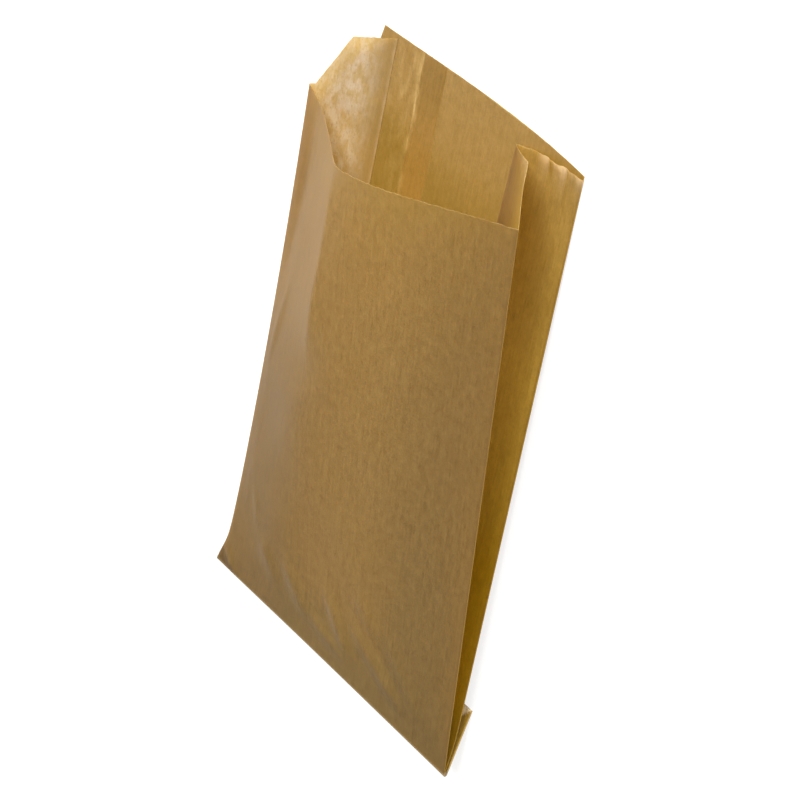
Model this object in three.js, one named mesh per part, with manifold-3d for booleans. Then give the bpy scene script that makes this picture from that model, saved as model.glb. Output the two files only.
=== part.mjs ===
// Plain kraft paper pastry bag with side gussets, lying on its back with the mouth part open.
// One sheet: rolled to a tube, overlapped and glued along the back, gussets folded in at both
// sides, the lower end pressed flat, folded under the back and glued.
// Units are millimetres. X runs across the bag, Y runs from the bottom crease to the mouth, Z is up.

import * as THREE from "three";
import Module from "manifold-3d";

// Driving dimensions of the flat bag
const PANEL_WIDTH = 140;
const GUSSET_DEPTH = 80;
const BACK_LENGTH = 240;
const PAPER_THICKNESS = 0.1;
const LAYER_GAP = 0.06;

// Overlap seam on the inside of the back panel
const SEAM_WIDTH = 12;
const SEAM_LEFT_OF_MIDDLE = 8.8;
const SEAM_EDGE_RUN = 0.3;

// Bottom strip folded under the back
const STRIP_DEPTH = 26.4;
const STRIP_STAND_OFF = 5.6;
const STRIP_LAP = 1.2;
const STRIP_COVER = 0.06;
const CREASE_RADIUS = 0.4;
const CREASE_STEPS = 8;

// Open mouth: how far each fold has moved from its flat place, and how far below the back lip it ends
const FRONT_RIGHT_SPREAD = 2.9;
const FRONT_RIGHT_HEIGHT = 25.7;
const FRONT_RIGHT_BELOW_LIP = 12.8;
const FRONT_BEND_SHIFT = 14.7;
const FRONT_BEND_HEIGHT = 28.2;
const FRONT_BEND_BELOW_LIP = 37.1;
const FRONT_LEFT_INSET = 16.9;
const FRONT_LEFT_HEIGHT = 13.8;
const FRONT_LEFT_BELOW_LIP = 28;
const LEFT_CENTRE_SHIFT = 2.2;
const LEFT_CENTRE_HEIGHT = 1.5;
const LEFT_CENTRE_BELOW_LIP = 1.4;
const BACK_LEFT_INSET = 15.4;
const BACK_LEFT_HEIGHT = 9.6;
const BACK_LEFT_BELOW_LIP = 33;
const BACK_BEND_BEFORE_CENTRE = 7.1;
const RIGHT_CENTRE_SHIFT = 8.6;
const RIGHT_CENTRE_HEIGHT = 1.6;
const RIGHT_CENTRE_BELOW_LIP = 4.9;
const BACK_RIGHT_BELOW_LIP = 4.4;

// Slanted cut over the outer part of the gusset halves, and the step at the left end of the lip
const SLANT_SHARE = 0.44;
const SLANT_TOP_BELOW_LIP = 5.2;
const HIDDEN_SLANT_BELOW_LIP = 9;
const RIGHT_SLANT_BELOW_LIP = 6.5;
const LIP_STEP = 6;
const LIP_STEP_RUN = 1.2;

// Bows of the mouth edge
const FRONT_BOW = 4.7;
const FRONT_STRIP_SAG = 3;
const LIP_BOW = 2;

// Lower down the left folds run further in and the back hangs lower, up to a short flare at the crease
const LEFT_FOLD_DRAW_IN = 3.9;
const BACK_HANG = 1.5;
const FLARE_SHARE = 0.045;

// Grid steps along the bag, closer together near the crease, and round it
const ROWS = 23;
const ROW_CROWDING = 1.35;
const COLUMN_STEP = 4.5;

// Kraft brown, matt
const KRAFT_COLOUR = 0x9c7a49;
const KRAFT_ROUGHNESS = 0.86;

const HALF_WIDTH = PANEL_WIDTH / 2;
const HALF_GUSSET = GUSSET_DEPTH / 2;
const LAYER_PITCH = PAPER_THICKNESS + LAYER_GAP;
const HALF_PAPER = PAPER_THICKNESS / 2;
const BACK_LAYER = 0;
const GUSSET_BACK_LAYER = 1;
const GUSSET_FRONT_LAYER = 2;
const FRONT_LAYER = 3;
const STACK_HEIGHT = FRONT_LAYER * LAYER_PITCH + PAPER_THICKNESS;

// Middle height of a paper layer where the bag is pressed flat
function layerHeight(layer) {
  return HALF_PAPER + layer * LAYER_PITCH;
}

// A station is one line of the paper: its place on the bottom crease, its end on the mouth edge
// and how far it strays from the straight between them
function station(bottomX, layer, mouthX, belowLip, mouthHeight, stray = new THREE.Vector3()) {
  return {
    bottom: new THREE.Vector3(bottomX, 0, layerHeight(layer)),
    mouth: new THREE.Vector3(mouthX, BACK_LENGTH - belowLip, mouthHeight + layerHeight(layer)),
    stray,
  };
}

// Station part way between two others
function blend(from, to, share) {
  return {
    bottom: from.bottom.clone().lerp(to.bottom, share),
    mouth: from.mouth.clone().lerp(to.mouth, share),
    stray: from.stray.clone().lerp(to.stray, share),
  };
}

// Station part way between two others, ending at its own level on the mouth
function stationBetween(from, to, share, belowLip) {
  const between = blend(from, to, share);
  between.mouth.y = BACK_LENGTH - belowLip;
  return between;
}

// Point of a line of the paper at a share of the way from the crease to the mouth
function linePoint(line, share) {
  const strayShare = (1 - share) * (1 - Math.exp(-((share / FLARE_SHARE) ** 2)));
  return line.bottom.clone().lerp(line.mouth, share).addScaledVector(line.stray, strayShare);
}

const centreFoldX = HALF_WIDTH - HALF_GUSSET;
const frontLeftX = -HALF_WIDTH + FRONT_LEFT_INSET;
const leftCentreX = -centreFoldX + LEFT_CENTRE_SHIFT;
const backLeftX = -HALF_WIDTH + BACK_LEFT_INSET;
const backBendX = -centreFoldX - BACK_BEND_BEFORE_CENTRE;
const rightCentreX = centreFoldX + RIGHT_CENTRE_SHIFT;
const frontRightX = HALF_WIDTH + FRONT_RIGHT_SPREAD;
const drawnIn = new THREE.Vector3(LEFT_FOLD_DRAW_IN, 0, 0);
const hanging = new THREE.Vector3(0, 0, -BACK_HANG);

const frontRight = station(HALF_WIDTH, FRONT_LAYER, frontRightX, FRONT_RIGHT_BELOW_LIP, FRONT_RIGHT_HEIGHT);
const frontBend = station(
  -centreFoldX, FRONT_LAYER, -centreFoldX + FRONT_BEND_SHIFT, FRONT_BEND_BELOW_LIP, FRONT_BEND_HEIGHT);
const frontLeft = station(
  -HALF_WIDTH, FRONT_LAYER, frontLeftX, FRONT_LEFT_BELOW_LIP, FRONT_LEFT_HEIGHT, drawnIn);
const leftFrontFold = station(
  -HALF_WIDTH, GUSSET_FRONT_LAYER, frontLeftX, FRONT_LEFT_BELOW_LIP, FRONT_LEFT_HEIGHT, drawnIn);
const leftCentreFront = station(
  -centreFoldX, GUSSET_FRONT_LAYER, leftCentreX, LEFT_CENTRE_BELOW_LIP, LEFT_CENTRE_HEIGHT);
const leftCentreBack = station(
  -centreFoldX, GUSSET_BACK_LAYER, leftCentreX, LEFT_CENTRE_BELOW_LIP, LEFT_CENTRE_HEIGHT);
const leftBackFold = station(
  -HALF_WIDTH, GUSSET_BACK_LAYER, backLeftX, BACK_LEFT_BELOW_LIP, BACK_LEFT_HEIGHT, drawnIn);
const backLeft = station(
  -HALF_WIDTH, BACK_LAYER, backLeftX, BACK_LEFT_BELOW_LIP, BACK_LEFT_HEIGHT, drawnIn);
const lipFootX = backBendX - LIP_STEP_RUN;
const lipFoot = station(lipFootX, BACK_LAYER, lipFootX, LIP_STEP, 0, hanging);
const backBend = station(backBendX, BACK_LAYER, backBendX, 0, 0, hanging);
const backRight = station(HALF_WIDTH, BACK_LAYER, HALF_WIDTH, 0, 0, hanging);
const rightBackFold = station(HALF_WIDTH, GUSSET_BACK_LAYER, HALF_WIDTH, BACK_RIGHT_BELOW_LIP, 0, hanging);
const rightCentreBack = station(
  centreFoldX, GUSSET_BACK_LAYER, rightCentreX, RIGHT_CENTRE_BELOW_LIP, RIGHT_CENTRE_HEIGHT);
const rightCentreFront = station(
  centreFoldX, GUSSET_FRONT_LAYER, rightCentreX, RIGHT_CENTRE_BELOW_LIP, RIGHT_CENTRE_HEIGHT);
const rightFrontFold = station(
  HALF_WIDTH, GUSSET_FRONT_LAYER, frontRightX, FRONT_RIGHT_BELOW_LIP, FRONT_RIGHT_HEIGHT);

const leftSlantTop = stationBetween(leftFrontFold, leftCentreFront, SLANT_SHARE, SLANT_TOP_BELOW_LIP);
const leftHiddenSlant = stationBetween(leftBackFold, leftCentreBack, SLANT_SHARE, HIDDEN_SLANT_BELOW_LIP);
const backHiddenSlant = stationBetween(backLeft, lipFoot, SLANT_SHARE, HIDDEN_SLANT_BELOW_LIP);
const rightSlantTop = stationBetween(rightFrontFold, rightCentreFront, SLANT_SHARE, RIGHT_SLANT_BELOW_LIP);

// Bow of the front mouth edge: highest a third of the way from the bend to the right fold
function frontBow(share, mouth) {
  const fromBend = 1 - share;
  const peak = 4 / 27;
  mouth.z += FRONT_BOW * fromBend * share * share / peak;
}

// The narrow strip left of the bend sags inward
function frontStripSag(share, mouth) {
  mouth.z -= 4 * FRONT_STRIP_SAG * share * (1 - share);
}

// The lip edge of the back panel is cut slightly convex
function lipBow(share, mouth) {
  mouth.y += 4 * LIP_BOW * share * (1 - share);
}

// Panels of the tube in order round it, each from one station to the next
const panels = [
  { from: frontRight, to: frontBend, shape: frontBow },
  { from: frontBend, to: frontLeft, shape: frontStripSag },
  { from: frontLeft, to: leftFrontFold },
  { from: leftFrontFold, to: leftSlantTop },
  { from: leftSlantTop, to: leftCentreFront },
  { from: leftCentreFront, to: leftCentreBack },
  { from: leftCentreBack, to: leftHiddenSlant },
  { from: leftHiddenSlant, to: leftBackFold },
  { from: leftBackFold, to: backLeft },
  { from: backLeft, to: backHiddenSlant },
  { from: backHiddenSlant, to: lipFoot },
  { from: lipFoot, to: backBend },
  { from: backBend, to: backRight, shape: lipBow, seam: true },
  { from: backRight, to: rightBackFold },
  { from: rightBackFold, to: rightCentreBack },
  { from: rightCentreBack, to: rightCentreFront },
  { from: rightCentreFront, to: rightSlantTop },
  { from: rightSlantTop, to: rightFrontFold },
  { from: rightFrontFold, to: frontRight },
];

// Shares across a panel where a line is laid; the seam adds one at each side of its two edges
function panelShares(panel) {
  const width = panel.from.bottom.distanceTo(panel.to.bottom);
  const steps = Math.max(1, Math.round(width / COLUMN_STEP));
  const shares = Array.from({ length: steps }, (unused, step) => step / steps);
  if (!panel.seam) {
    return shares;
  }
  const seamLeft = -SEAM_LEFT_OF_MIDDLE - SEAM_WIDTH / 2;
  const seamRight = seamLeft + SEAM_WIDTH;
  const edges = [seamLeft - SEAM_EDGE_RUN, seamLeft, seamRight, seamRight + SEAM_EDGE_RUN];
  const edgeShares = edges.map((x) => (x - panel.from.bottom.x) / width);
  const clear = SEAM_EDGE_RUN / width;
  const kept = shares.filter((share) => edgeShares.every((edge) => Math.abs(edge - share) > clear));
  return kept.concat(edgeShares).sort((first, second) => first - second);
}

// All lines round the tube, each with the depth of paper on its inner side
function makeLines() {
  const lines = [];
  const seamLeft = -SEAM_LEFT_OF_MIDDLE - SEAM_WIDTH / 2;
  const seamRight = seamLeft + SEAM_WIDTH;
  const slack = SEAM_EDGE_RUN / 2;
  for (const panel of panels) {
    for (const share of panelShares(panel)) {
      const line = blend(panel.from, panel.to, share);
      if (panel.shape) {
        panel.shape(share, line.mouth);
      }
      const inSeam = panel.seam && line.bottom.x > seamLeft - slack && line.bottom.x < seamRight + slack;
      line.innerDepth = inSeam ? HALF_PAPER + PAPER_THICKNESS : HALF_PAPER;
      lines.push(line);
    }
  }
  return lines;
}

// Offset direction at each point of one closed row, across the paper and long enough to keep its thickness
function rowOffsets(row) {
  const count = row.length;
  const sideNormals = row.map((point, index) => {
    const next = row[(index + 1) % count];
    return new THREE.Vector2(next.z - point.z, point.x - next.x).normalize();
  });
  return row.map((point, index) => {
    const before = sideNormals[(index + count - 1) % count];
    const after = sideNormals[index];
    return before.clone().add(after).divideScalar(1 + before.dot(after));
  });
}

// The paper tube as a closed shell: outer face, inner face and the cut edges at both ends
function makeTube() {
  const lines = makeLines();
  const count = lines.length;
  const positions = [];
  for (let rowIndex = 0; rowIndex <= ROWS; rowIndex += 1) {
    const share = (rowIndex / ROWS) ** ROW_CROWDING;
    const row = lines.map((line) => linePoint(line, share));
    const offsets = rowOffsets(row);
    row.forEach((point, index) => {
      const offset = offsets[index];
      positions.push(point.x + HALF_PAPER * offset.x, point.y, point.z + HALF_PAPER * offset.y);
    });
    row.forEach((point, index) => {
      const offset = offsets[index];
      const depth = lines[index].innerDepth;
      positions.push(point.x - depth * offset.x, point.y, point.z - depth * offset.y);
    });
  }
  const outer = (rowIndex, index) => 2 * rowIndex * count + (index % count);
  const inner = (rowIndex, index) => (2 * rowIndex + 1) * count + (index % count);
  const triangles = [];
  const quad = (first, second, third, fourth) => {
    triangles.push(first, second, third, first, third, fourth);
  };
  for (let rowIndex = 0; rowIndex < ROWS; rowIndex += 1) {
    for (let index = 0; index < count; index += 1) {
      const up = rowIndex + 1;
      const next = index + 1;
      quad(outer(rowIndex, index), outer(up, index), outer(up, next), outer(rowIndex, next));
      quad(inner(rowIndex, index), inner(rowIndex, next), inner(up, next), inner(up, index));
    }
  }
  for (let index = 0; index < count; index += 1) {
    const next = index + 1;
    quad(outer(0, index), outer(0, next), inner(0, next), inner(0, index));
    quad(outer(ROWS, index), inner(ROWS, index), inner(ROWS, next), outer(ROWS, next));
  }
  return { positions, triangles };
}

// Middle line of the bottom strip seen from the side: over the crease and back under the bag
function stripLine() {
  const top = STACK_HEIGHT / 2;
  const lean = Math.atan2(STRIP_STAND_OFF, STRIP_DEPTH);
  const points = [new THREE.Vector2(STRIP_LAP, top)];
  const turn = Math.PI - lean;
  for (let step = 0; step <= CREASE_STEPS; step += 1) {
    const angle = Math.PI / 2 + turn * step / CREASE_STEPS;
    const y = CREASE_RADIUS * Math.cos(angle);
    const z = top - CREASE_RADIUS + CREASE_RADIUS * Math.sin(angle);
    points.push(new THREE.Vector2(y, z));
  }
  points.push(new THREE.Vector2(STRIP_DEPTH, -STRIP_STAND_OFF));
  return points;
}

// The bottom strip: all layers glued together, following its middle line
function makeStrip() {
  const line = stripLine();
  const half = STACK_HEIGHT / 2 + STRIP_COVER;
  const normals = line.map((point, index) => {
    const before = line[Math.max(0, index - 1)];
    const after = line[Math.min(line.length - 1, index + 1)];
    return new THREE.Vector2(before.y - after.y, after.x - before.x).normalize();
  });
  const outerSide = line.map((point, index) => point.clone().addScaledVector(normals[index], -half));
  const innerSide = line.map((point, index) => point.clone().addScaledVector(normals[index], half));
  const outline = new THREE.Shape(outerSide.concat(innerSide.reverse()));
  const width = PANEL_WIDTH + 2 * PAPER_THICKNESS;
  const strip = new THREE.ExtrudeGeometry(outline, { depth: width, bevelEnabled: false, curveSegments: 1 });
  strip.applyMatrix4(new THREE.Matrix4().set(0, 0, 1, -width / 2, 1, 0, 0, 0, 0, 1, 0, 0, 0, 0, 0, 1));
  return strip;
}

const wasm = await Module();
wasm.setup();

// Solid from positions and triangles, with equal corners joined
function toSolid(positions, triangles) {
  const mesh = new wasm.Mesh({
    numProp: 3,
    vertProperties: new Float32Array(positions),
    triVerts: new Uint32Array(triangles),
  });
  mesh.merge();
  return new wasm.Manifold(mesh);
}

// Solid from a three.js geometry
function geometryToSolid(geometry) {
  const positions = geometry.getAttribute("position").array;
  const triangles = geometry.index ? geometry.index.array : positions.map((value, index) => index);
  const cornerCount = geometry.index ? triangles.length : positions.length / 3;
  return toSolid(positions, Array.from({ length: cornerCount }, (unused, index) => triangles[index]));
}

const tube = makeTube();
const bag = toSolid(tube.positions, tube.triangles).add(geometryToSolid(makeStrip()));
const bagMesh = bag.getMesh();

const bagGeometry = new THREE.BufferGeometry();
bagGeometry.setAttribute("position", new THREE.BufferAttribute(new Float32Array(bagMesh.vertProperties), 3));
bagGeometry.setIndex(new THREE.BufferAttribute(new Uint32Array(bagMesh.triVerts), 1));

// Laid down: resting on the strip's free edge and the lip, then centred over the origin
const restDrop = STRIP_STAND_OFF + STACK_HEIGHT / 2 + STRIP_COVER;
bagGeometry.rotateX(-Math.atan2(restDrop, BACK_LENGTH - STRIP_DEPTH));
bagGeometry.computeBoundingBox();
const box = bagGeometry.boundingBox;
const middle = box.getCenter(new THREE.Vector3());
bagGeometry.translate(-middle.x, -middle.y, -box.min.z);
bagGeometry.computeVertexNormals();

const kraft = new THREE.MeshStandardMaterial({
  color: KRAFT_COLOUR,
  roughness: KRAFT_ROUGHNESS,
  metalness: 0,
});
const paperBag = new THREE.Mesh(bagGeometry, kraft);
paperBag.name = "paper_bag";

const part = new THREE.Group();
part.name = "paper_pastry_bag";
part.add(paperBag);

export default part;
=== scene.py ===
"""Plain kraft paper pastry bag lying on its back, dressed for a studio picture."""

import logging
import math
from dataclasses import dataclass, field, fields, replace
from enum import Enum

import bpy
import numpy as np
from mathutils import Matrix, Vector


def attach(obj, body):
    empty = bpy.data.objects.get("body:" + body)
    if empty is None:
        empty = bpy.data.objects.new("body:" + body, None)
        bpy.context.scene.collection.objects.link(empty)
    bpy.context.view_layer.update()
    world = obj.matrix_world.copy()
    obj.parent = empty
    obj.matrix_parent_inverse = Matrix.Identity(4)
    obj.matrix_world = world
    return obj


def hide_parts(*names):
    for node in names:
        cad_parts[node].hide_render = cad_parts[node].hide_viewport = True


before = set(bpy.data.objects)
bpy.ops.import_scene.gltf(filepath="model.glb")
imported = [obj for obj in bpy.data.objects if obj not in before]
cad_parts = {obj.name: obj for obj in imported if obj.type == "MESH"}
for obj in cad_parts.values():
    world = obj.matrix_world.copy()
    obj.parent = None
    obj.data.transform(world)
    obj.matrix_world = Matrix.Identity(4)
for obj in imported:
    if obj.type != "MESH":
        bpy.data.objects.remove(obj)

LOG = logging.getLogger("pastry_bag")
MM = 0.001
TINY = 1e-9
FLAT_TOP = 4
Array = np.ndarray
Socket = bpy.types.NodeSocket
Triple = tuple[float, float, float]
Colour = tuple[float, float, float, float]
STILL: Triple = (0.0, 0.0, 0.0)
WHITE: Colour = (1.0, 1.0, 1.0, 1.0)


def ramp(value: Array, start: float, end: float) -> Array:
    """Rise from 0 at the start to 1 at the end, level outside."""
    return np.clip((value - start) / (end - start), 0, 1)


def bell(value: Array, width: float, power: int = 2) -> Array:
    """Bell of height 1 round nought, with a flatter top for a higher power."""
    return np.exp(-(np.abs(value / width) ** power))


def hump(share: Array) -> Array:
    """Parabola of height 1 over a share from 0 to 1."""
    return 4 * share * (1 - share)


def leaning_hump(share: Array) -> Array:
    """Curve of height 1 over a share from 0 to 1, highest two thirds of the way along."""
    return 27 / 4 * share**2 * (1 - share)


def waves(place: Array, terms: tuple[Triple, ...]) -> Array:
    """Sum of sines, each given by its height, its rate and its start."""
    return sum(height * np.sin(place * rate + start) for height, rate, start in terms)


class Layer(Enum):
    """Paper layers of the bag where it is pressed flat, counted up from the floor."""

    BACK = 0
    GUSSET_BACK = 1
    GUSSET_FRONT = 2
    FRONT = 3


class Zone(Enum):
    """Parts of the sheet that crease and colour differently."""

    FRONT = "front"
    FRONT_STRIP = "front_strip"
    LEFT_INNER = "left_inner"
    LEFT_HIDDEN = "left_hidden"
    BACK = "back"
    RIGHT_BACK = "right_back"
    RIGHT_FRONT = "right_front"
    FOLD = "fold"


class Bow(Enum):
    """Ways in which a panel's mouth edge leaves a straight line."""

    NONE = "none"
    LIP = "lip"
    LEFT_DIP = "left_dip"
    RIGHT_WALL = "right_wall"
    RIGHT_FLOOR = "right_floor"


@dataclass(frozen=True)
class SheetSizes:
    """Sizes of the flat bag and of its folded bottom, in millimetres, as in the part's source."""

    panel_width: float = 140.0
    gusset_depth: float = 80.0
    back_length: float = 240.0
    paper: float = 0.1
    layer_gap: float = 0.06
    seam_width: float = 12.0
    seam_left_of_middle: float = 8.8
    strip_depth: float = 26.4
    strip_stand_off: float = 5.6
    strip_lap: float = 1.2
    strip_cover: float = 0.06
    crease_radius: float = 0.4
    left_slant_share: float = 0.44
    right_slant_share: float = 0.53
    lip_step: float = 6.0
    lip_step_run: float = 1.2
    lip_starts_past_fold: float = 7.1
    left_fold_draw_in: float = 2.7
    left_fold_sway: float = 1.9
    back_hang: float = 1.5
    lining_hang_share: float = 0.98
    flare_share: float = 0.045

    @property
    def half_width(self) -> float:
        """Half the width of the front and back panels."""
        return self.panel_width / 2

    @property
    def centre_fold(self) -> float:
        """Distance of the gussets' centre folds from the middle when flat."""
        return self.half_width - self.gusset_depth / 2

    @property
    def seam_left(self) -> float:
        """Place across of the seam's left edge."""
        return -self.seam_left_of_middle - self.seam_width / 2

    @property
    def pitch(self) -> float:
        """Height from one pressed layer to the next."""
        return self.paper + self.layer_gap

    @property
    def stack(self) -> float:
        """Height of all pressed layers together."""
        return 3 * self.pitch + self.paper

    def layer_height(self, layer: Layer) -> float:
        """Middle height of a pressed layer."""
        return self.paper / 2 + layer.value * self.pitch

    def into_gusset(self, across: Array) -> Array:
        """Share of the way in from the right fold to the gusset's centre fold."""
        return (self.half_width - across) / (self.half_width - self.centre_fold)


@dataclass(frozen=True)
class MouthEnd:
    """Where a fold line ends at the mouth: shifted across, below the lip and above its layer."""

    shift: float = 0.0
    below: float = 0.0
    up: float = 0.0


@dataclass(frozen=True)
class MouthShape:
    """How the mouth stands open, in millimetres."""

    front_right: MouthEnd = MouthEnd(2.9, 12.8, 25.7)
    front_bend: MouthEnd = MouthEnd(25.7, 37.1, 28.2)
    left_front: MouthEnd = MouthEnd(16.9, 28.0, 13.8)
    left_centre: MouthEnd = MouthEnd(0.6, 1.4, -0.08)
    left_back: MouthEnd = MouthEnd(15.4, 36.0, 9.6)
    right_back: MouthEnd = MouthEnd(0.0, 1.2, 0.0)
    right_centre: MouthEnd = MouthEnd(8.6, 4.9, 1.6)
    left_slant_below: float = 5.9
    hidden_slant_below: float = 12.0
    lip_bow: tuple[float, float] = (1.0, 1.35)
    left_dip: tuple[float, float] = (3.0, 0.16)
    right_wall_bow: float = 0.8
    right_floor_bow: float = 1.6


@dataclass(frozen=True)
class FoldLine:
    """One line of the paper, from the bottom crease to the mouth edge, with its bends on the way."""

    bottom: Triple
    mouth: Triple
    stray: Triple = STILL
    sway: Triple = STILL

    def between(self, other: "FoldLine", share: float, level: float) -> "FoldLine":
        """Line part way to another one, ending at its own level.

        Args:
            other: The line to go towards.
            share: How far to go, from 0 to 1.
            level: Distance of its mouth end from the bottom crease.

        Returns:
            The line between.
        """

        def part(a: Triple, b: Triple) -> Triple:
            """Values part way from the first to the second."""
            return tuple(np.array(a) * (1 - share) + np.array(b) * share)

        across, _, up = part(self.mouth, other.mouth)
        ends = part(self.bottom, other.bottom), (across, level, up)
        return FoldLine(*ends, part(self.stray, other.stray), part(self.sway, other.sway))


@dataclass(frozen=True)
class Panel:
    """A stretch of the sheet between two lines."""

    start: FoldLine
    end: FoldLine
    zone: Zone
    bow: Bow = Bow.NONE


@dataclass(frozen=True)
class LineSet:
    """Lines of the paper as arrays, one entry a line."""

    bottom: Array
    mouth: Array
    stray: Array
    sway: Array

    @classmethod
    def of(cls, lines: list[FoldLine]) -> "LineSet":
        """The given lines as arrays."""
        return cls(*(np.array([getattr(line, f.name) for line in lines]) for f in fields(FoldLine)))

    def drawn(self, share: Array, flare_share: float) -> Array:
        """Points of all lines.

        Formula: straight from crease to mouth, plus a stray that comes in just above the crease and
        fades to the mouth, plus a sway that is widest half way.

        Args:
            share: Share of the way along of every row.
            flare_share: Share of the way along at which the stray has come in.

        Returns:
            Points by row and line.
        """
        v = share[:, None, None]
        flare = (1 - v) * (1 - bell(v, flare_share))
        straight = self.bottom * (1 - v) + self.mouth * v
        return straight + self.stray * flare + self.sway * hump(v)


@dataclass(frozen=True)
class Columns(LineSet):
    """The sheet's columns round the tube: their zones, and their distances from the panel's folds."""

    zone: Array
    edge: Array

    @property
    def across(self) -> Array:
        """Place across the flat bag."""
        return self.bottom[:, 0]

    @property
    def paper(self) -> Array:
        """Distance round the tube from the first column."""
        step = np.linalg.norm(np.diff(self.bottom, axis=0), axis=1)
        return np.concatenate([[0.0], np.cumsum(step)])

    def on(self, *zones: Zone) -> Array:
        """Which columns lie in the given zones."""
        return np.isin(self.zone, [list(Zone).index(zone) for zone in zones])


@dataclass
class FoldPlan:
    """How the sheet is folded to the open bag: its lines, its panels and their columns."""

    sizes: SheetSizes
    mouth: MouthShape = field(default_factory=MouthShape)
    bend_slant: float = 11.0
    bend_sway: Triple = (3.2, 0.0, 3.4)
    column_step: float = 1.45
    seam_slopes: tuple[float, float] = (0.15, 1.0)
    seam_room: float = 0.3

    def lines(self) -> dict[str, FoldLine]:
        """All named fold lines of the open bag.

        Returns:
            The lines by name, in millimetres in the bag's own frame.
        """
        s, m = self.sizes, self.mouth
        lip, half, centre = s.back_length, s.half_width, s.centre_fold
        draw: Triple = (s.left_fold_draw_in, 0.0, 0.0)
        sway: Triple = (s.left_fold_sway, 0.0, 0.0)
        hang: Triple = (0.0, 0.0, -s.back_hang)
        rest: Triple = (0.0, 0.0, -s.lining_hang_share * s.back_hang)

        def line(x: float, layer: Layer, end: MouthEnd, *bends: Triple) -> FoldLine:
            """One line from its place on the crease and its end at the mouth."""
            z = s.layer_height(layer)
            return FoldLine((x, 0.0, z), (x + end.shift, lip - end.below, end.up + z), *bends)

        lip_x = -centre - s.lip_starts_past_fold
        foot = MouthEnd(below=s.lip_step)
        out = {
            "front_right": line(half, Layer.FRONT, m.front_right),
            "front_bend": line(-centre - self.bend_slant, Layer.FRONT, m.front_bend, STILL, self.bend_sway),
            "front_left": line(-half, Layer.FRONT, m.left_front, draw, sway),
            "left_front": line(-half, Layer.GUSSET_FRONT, m.left_front, draw, sway),
            "left_centre_front": line(-centre, Layer.GUSSET_FRONT, m.left_centre, rest),
            "left_centre_back": line(-centre, Layer.GUSSET_BACK, m.left_centre, rest),
            "left_back": line(-half, Layer.GUSSET_BACK, m.left_back, draw, sway),
            "back_left": line(-half, Layer.BACK, m.left_back, draw, sway),
            "lip_foot": line(lip_x - s.lip_step_run, Layer.BACK, foot, hang),
            "lip_left": line(lip_x, Layer.BACK, MouthEnd(), hang),
            "back_right": line(half, Layer.BACK, MouthEnd(), hang),
            "right_back": line(half, Layer.GUSSET_BACK, m.right_back, hang),
            "right_centre_back": line(centre, Layer.GUSSET_BACK, m.right_centre),
            "right_centre_front": line(centre, Layer.GUSSET_FRONT, m.right_centre),
            "right_front": line(half, Layer.GUSSET_FRONT, m.front_right),
        }
        for name, start, end, share, below in (
            ("left_slant", "left_front", "left_centre_front", s.left_slant_share, m.left_slant_below),
            ("left_hidden", "left_back", "left_centre_back", s.left_slant_share, m.hidden_slant_below),
            ("back_hidden", "back_left", "lip_foot", s.left_slant_share, m.hidden_slant_below),
            ("right_slant", "right_front", "right_centre_front", s.right_slant_share, 0.0),
        ):
            out[name] = out[start].between(out[end], share, lip - below)
        return out

    def panels(self) -> list[Panel]:
        """The panels in order round the tube, each from its own line to the next one.

        Returns:
            The panels, from the front's right fold round to it again.
        """
        lines = self.lines()
        order = {
            "front_right": Zone.FRONT,
            "front_bend": Zone.FRONT_STRIP,
            "front_left": Zone.FOLD,
            "left_front": Zone.LEFT_INNER,
            "left_slant": Zone.LEFT_INNER,
            "left_centre_front": Zone.FOLD,
            "left_centre_back": Zone.LEFT_HIDDEN,
            "left_hidden": Zone.LEFT_HIDDEN,
            "left_back": Zone.FOLD,
            "back_left": Zone.LEFT_HIDDEN,
            "back_hidden": Zone.LEFT_HIDDEN,
            "lip_foot": Zone.BACK,
            "lip_left": Zone.BACK,
            "back_right": Zone.FOLD,
            "right_back": Zone.RIGHT_BACK,
            "right_centre_back": Zone.FOLD,
            "right_centre_front": Zone.RIGHT_FRONT,
            "right_slant": Zone.RIGHT_FRONT,
            "right_front": Zone.FOLD,
        }
        bows = {
            "left_front": Bow.LEFT_DIP,
            "lip_left": Bow.LIP,
            "right_back": Bow.RIGHT_FLOOR,
            "right_centre_front": Bow.RIGHT_WALL,
            "right_slant": Bow.RIGHT_WALL,
        }
        names = list(order)
        pairs = zip(names, names[1:] + names[:1])
        return [Panel(lines[a], lines[b], order[a], bows.get(a, Bow.NONE)) for a, b in pairs]

    def bowed(self, mouth: Array, share: Array, across: Array, bow: Bow) -> Array:
        """Mouth edge with the bow of its panel.

        Formula: the lip has an even parabola and a leaning one, the left dip is two straight lines, and
        the right gusset's wall and floor have a parabola each.

        Args:
            mouth: Straight mouth points.
            share: Share of the way across the panel.
            across: Place across the flat bag.
            bow: Which bow the panel has.

        Returns:
            The bowed mouth points.
        """
        m = self.mouth
        out = mouth.copy()
        if bow is Bow.LIP:
            even, leaning = m.lip_bow
            out[:, 1] += even * hump(share) + leaning * leaning_hump(share)
        elif bow is Bow.LEFT_DIP:
            depth, lowest = m.left_dip
            out[:, 1] -= depth * np.minimum(share / lowest, (1 - share) / (1 - lowest))
        elif bow is Bow.RIGHT_WALL:
            out[:, 0] += m.right_wall_bow * hump(self.sizes.into_gusset(across))
        elif bow is Bow.RIGHT_FLOOR:
            out[:, 1] += m.right_floor_bow * hump(share)
        return out

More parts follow.
